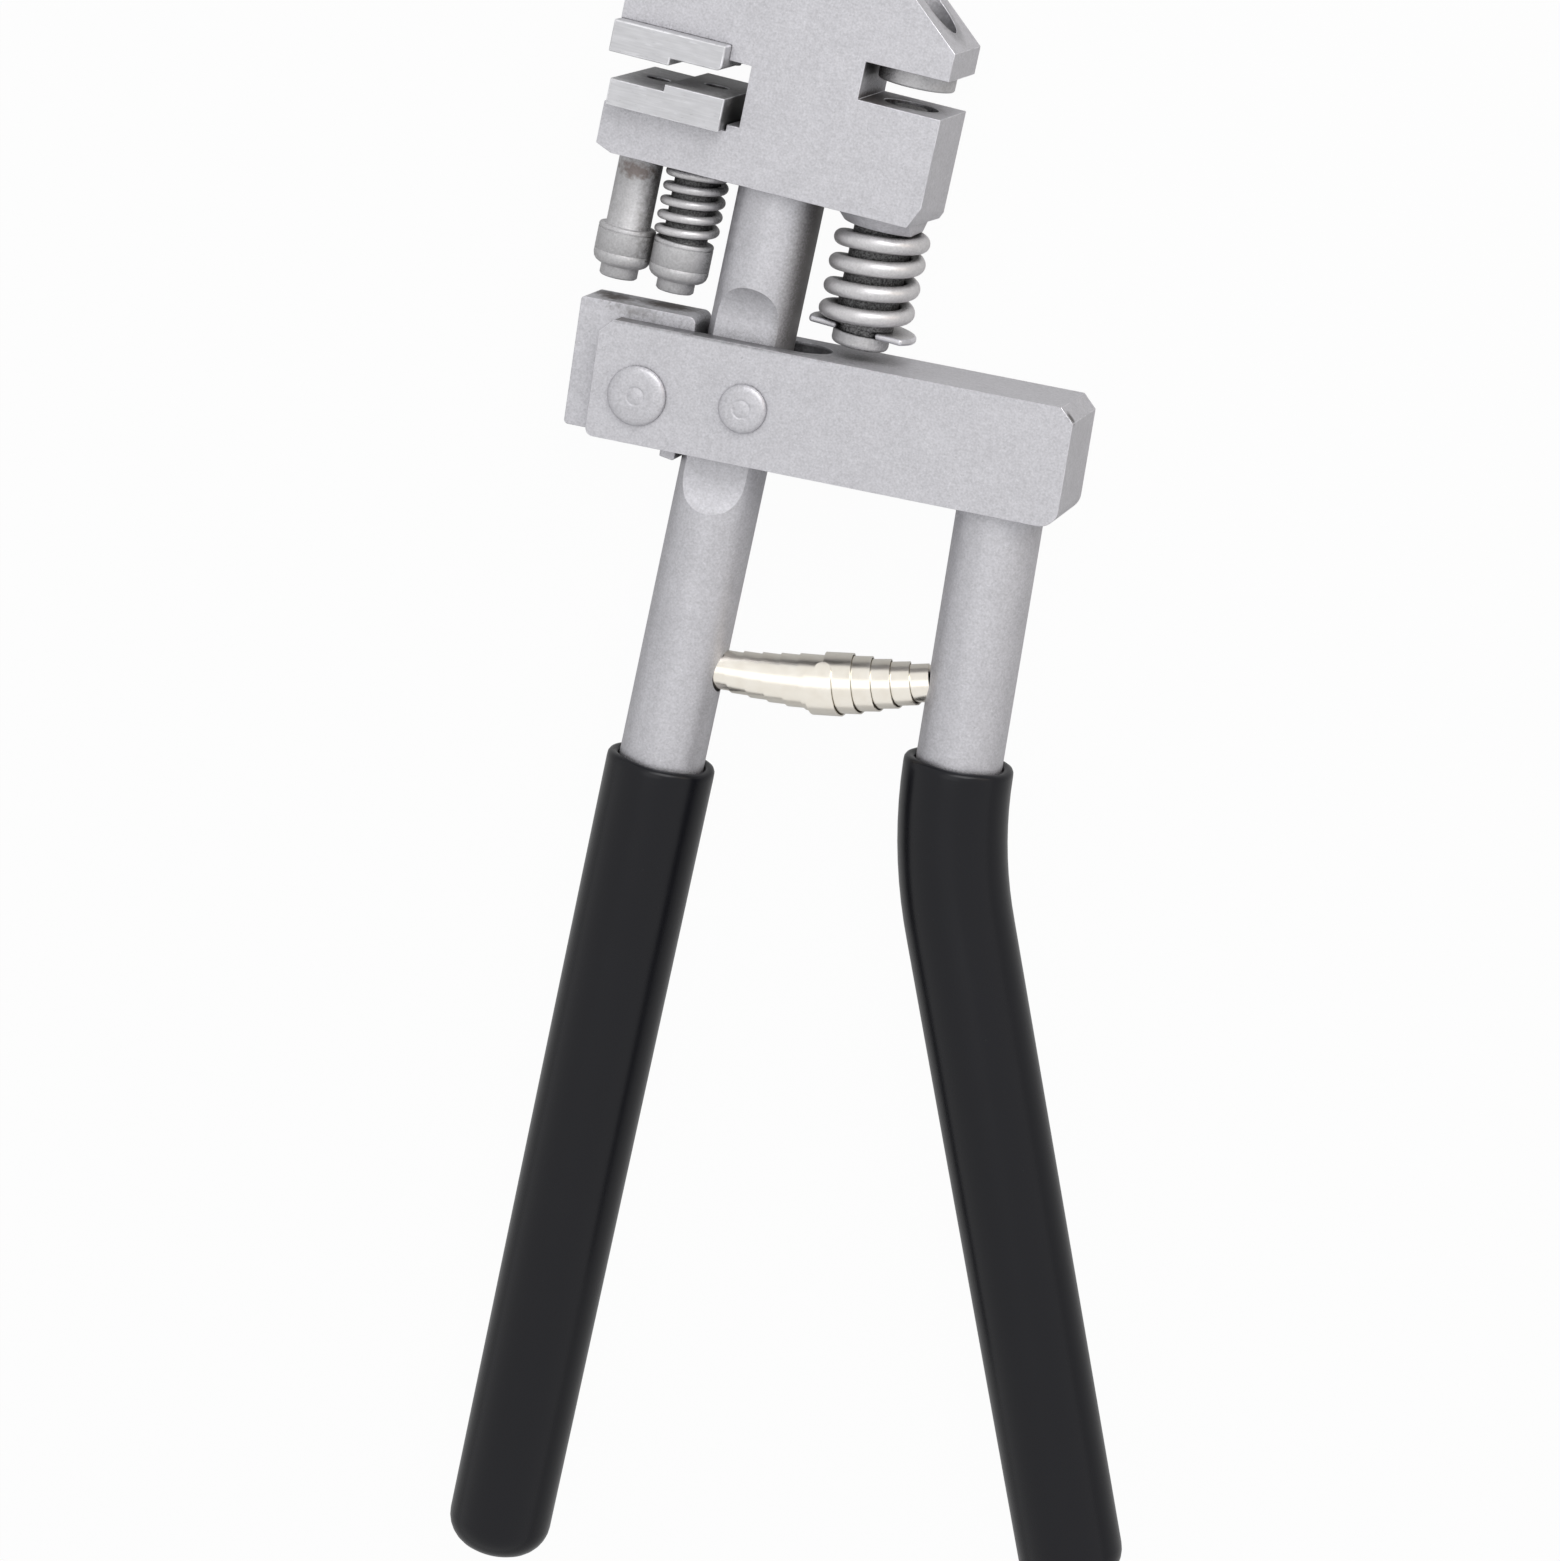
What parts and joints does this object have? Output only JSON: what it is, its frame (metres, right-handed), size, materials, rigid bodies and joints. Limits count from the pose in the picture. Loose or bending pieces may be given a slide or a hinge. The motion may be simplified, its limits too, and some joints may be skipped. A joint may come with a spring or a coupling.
{
  "type": "joggling and hole punch plier",
  "caption": "Hand plier for sheet metal: a turning steel head with stepped joggling dies and a hole punch, worked by a pivoted lever with two gripped handles.",
  "frame": {"origin": "middle of the bottom of the bounding box, the tool lying on its back", "axes": "+Y along the main rod towards the head, +Z out of the front face, +X towards the second handle"},
  "size_m": [0.1528, 0.324, 0.028],
  "materials": {
    "cast_steel": "satin, fine blasted grain",
    "ground_steel": "ground, fine lines",
    "dark_steel": "satin, darker grain",
    "spring_steel": "satin",
    "volute_strip": "polished warm nickel",
    "fastener_steel": "satin",
    "black_grip": "gloss dipped vinyl"
  },
  "bodies": {
    "main_handle": {"main_rod": "cast_steel", "main_grip": "black_grip", "head_washer": "fastener_steel", "head_nut": "fastener_steel", "volute_spring": "volute_strip"},
    "head": {"head_block": "cast_steel", "upper_joggle_die": "ground_steel", "upper_die_screw_outer": "fastener_steel", "upper_die_screw_inner": "fastener_steel", "punch_die_button": "dark_steel", "punch_guide_bush": "dark_steel", "joggle_return_spring": "spring_steel", "punch_return_spring": "spring_steel"},
    "joggle_ram": {"lower_joggle_die": "ground_steel", "push_rod_outer": "dark_steel", "push_rod_inner": "dark_steel"},
    "punch": {"punch_pin": "dark_steel", "punch_cross_pin": "spring_steel"},
    "lever": {"lever_block": "cast_steel", "lever_rod": "cast_steel", "lever_grip": "black_grip", "pivot_rivet": "cast_steel", "pusher_rivet": "cast_steel"},
    "pusher": {"pusher_block": "cast_steel"}
  },
  "joints": [
    {"name": "lever_pivot", "type": "hinge", "parent": "main_handle", "child": "lever", "pos_m": [-0.03946, 0.07105, 0.014], "axis": [0, 0, 1], "range_deg": [-20, 0], "stiffness_Nm_per_rad": 2, "springref_deg": 28.65, "deforming": ["volute_spring"]},
    {"name": "pusher_pivot", "type": "hinge", "parent": "lever", "child": "pusher", "pos_m": [-0.05927, 0.06839, 0.014], "axis": [0, 0, 1], "range_deg": [0, 16.5]},
    {"name": "head_swivel", "type": "hinge", "parent": "main_handle", "child": "head", "pos_m": [-0.04306, 0.13205, 0.014], "axis": [0, 1, 0], "range_deg": [0, 180]},
    {"name": "joggle_slide", "type": "slide", "parent": "head", "child": "joggle_ram", "axis": [0, 1, 0], "range_m": [0, 0.00377], "deforming": ["joggle_return_spring"]},
    {"name": "punch_slide", "type": "slide", "parent": "head", "child": "punch", "axis": [0, 1, 0], "range_m": [0, 0.00502], "deforming": ["punch_return_spring"]}
  ],
  "couplings": [
    {"joint": "pusher_pivot", "follows": "lever_pivot", "ratio": -0.825},
    {"joint": "joggle_slide", "follows": "lever_pivot", "m_per_rad": -0.010809},
    {"joint": "punch_slide", "follows": "lever_pivot", "m_per_rad": -0.01439}
  ]
}
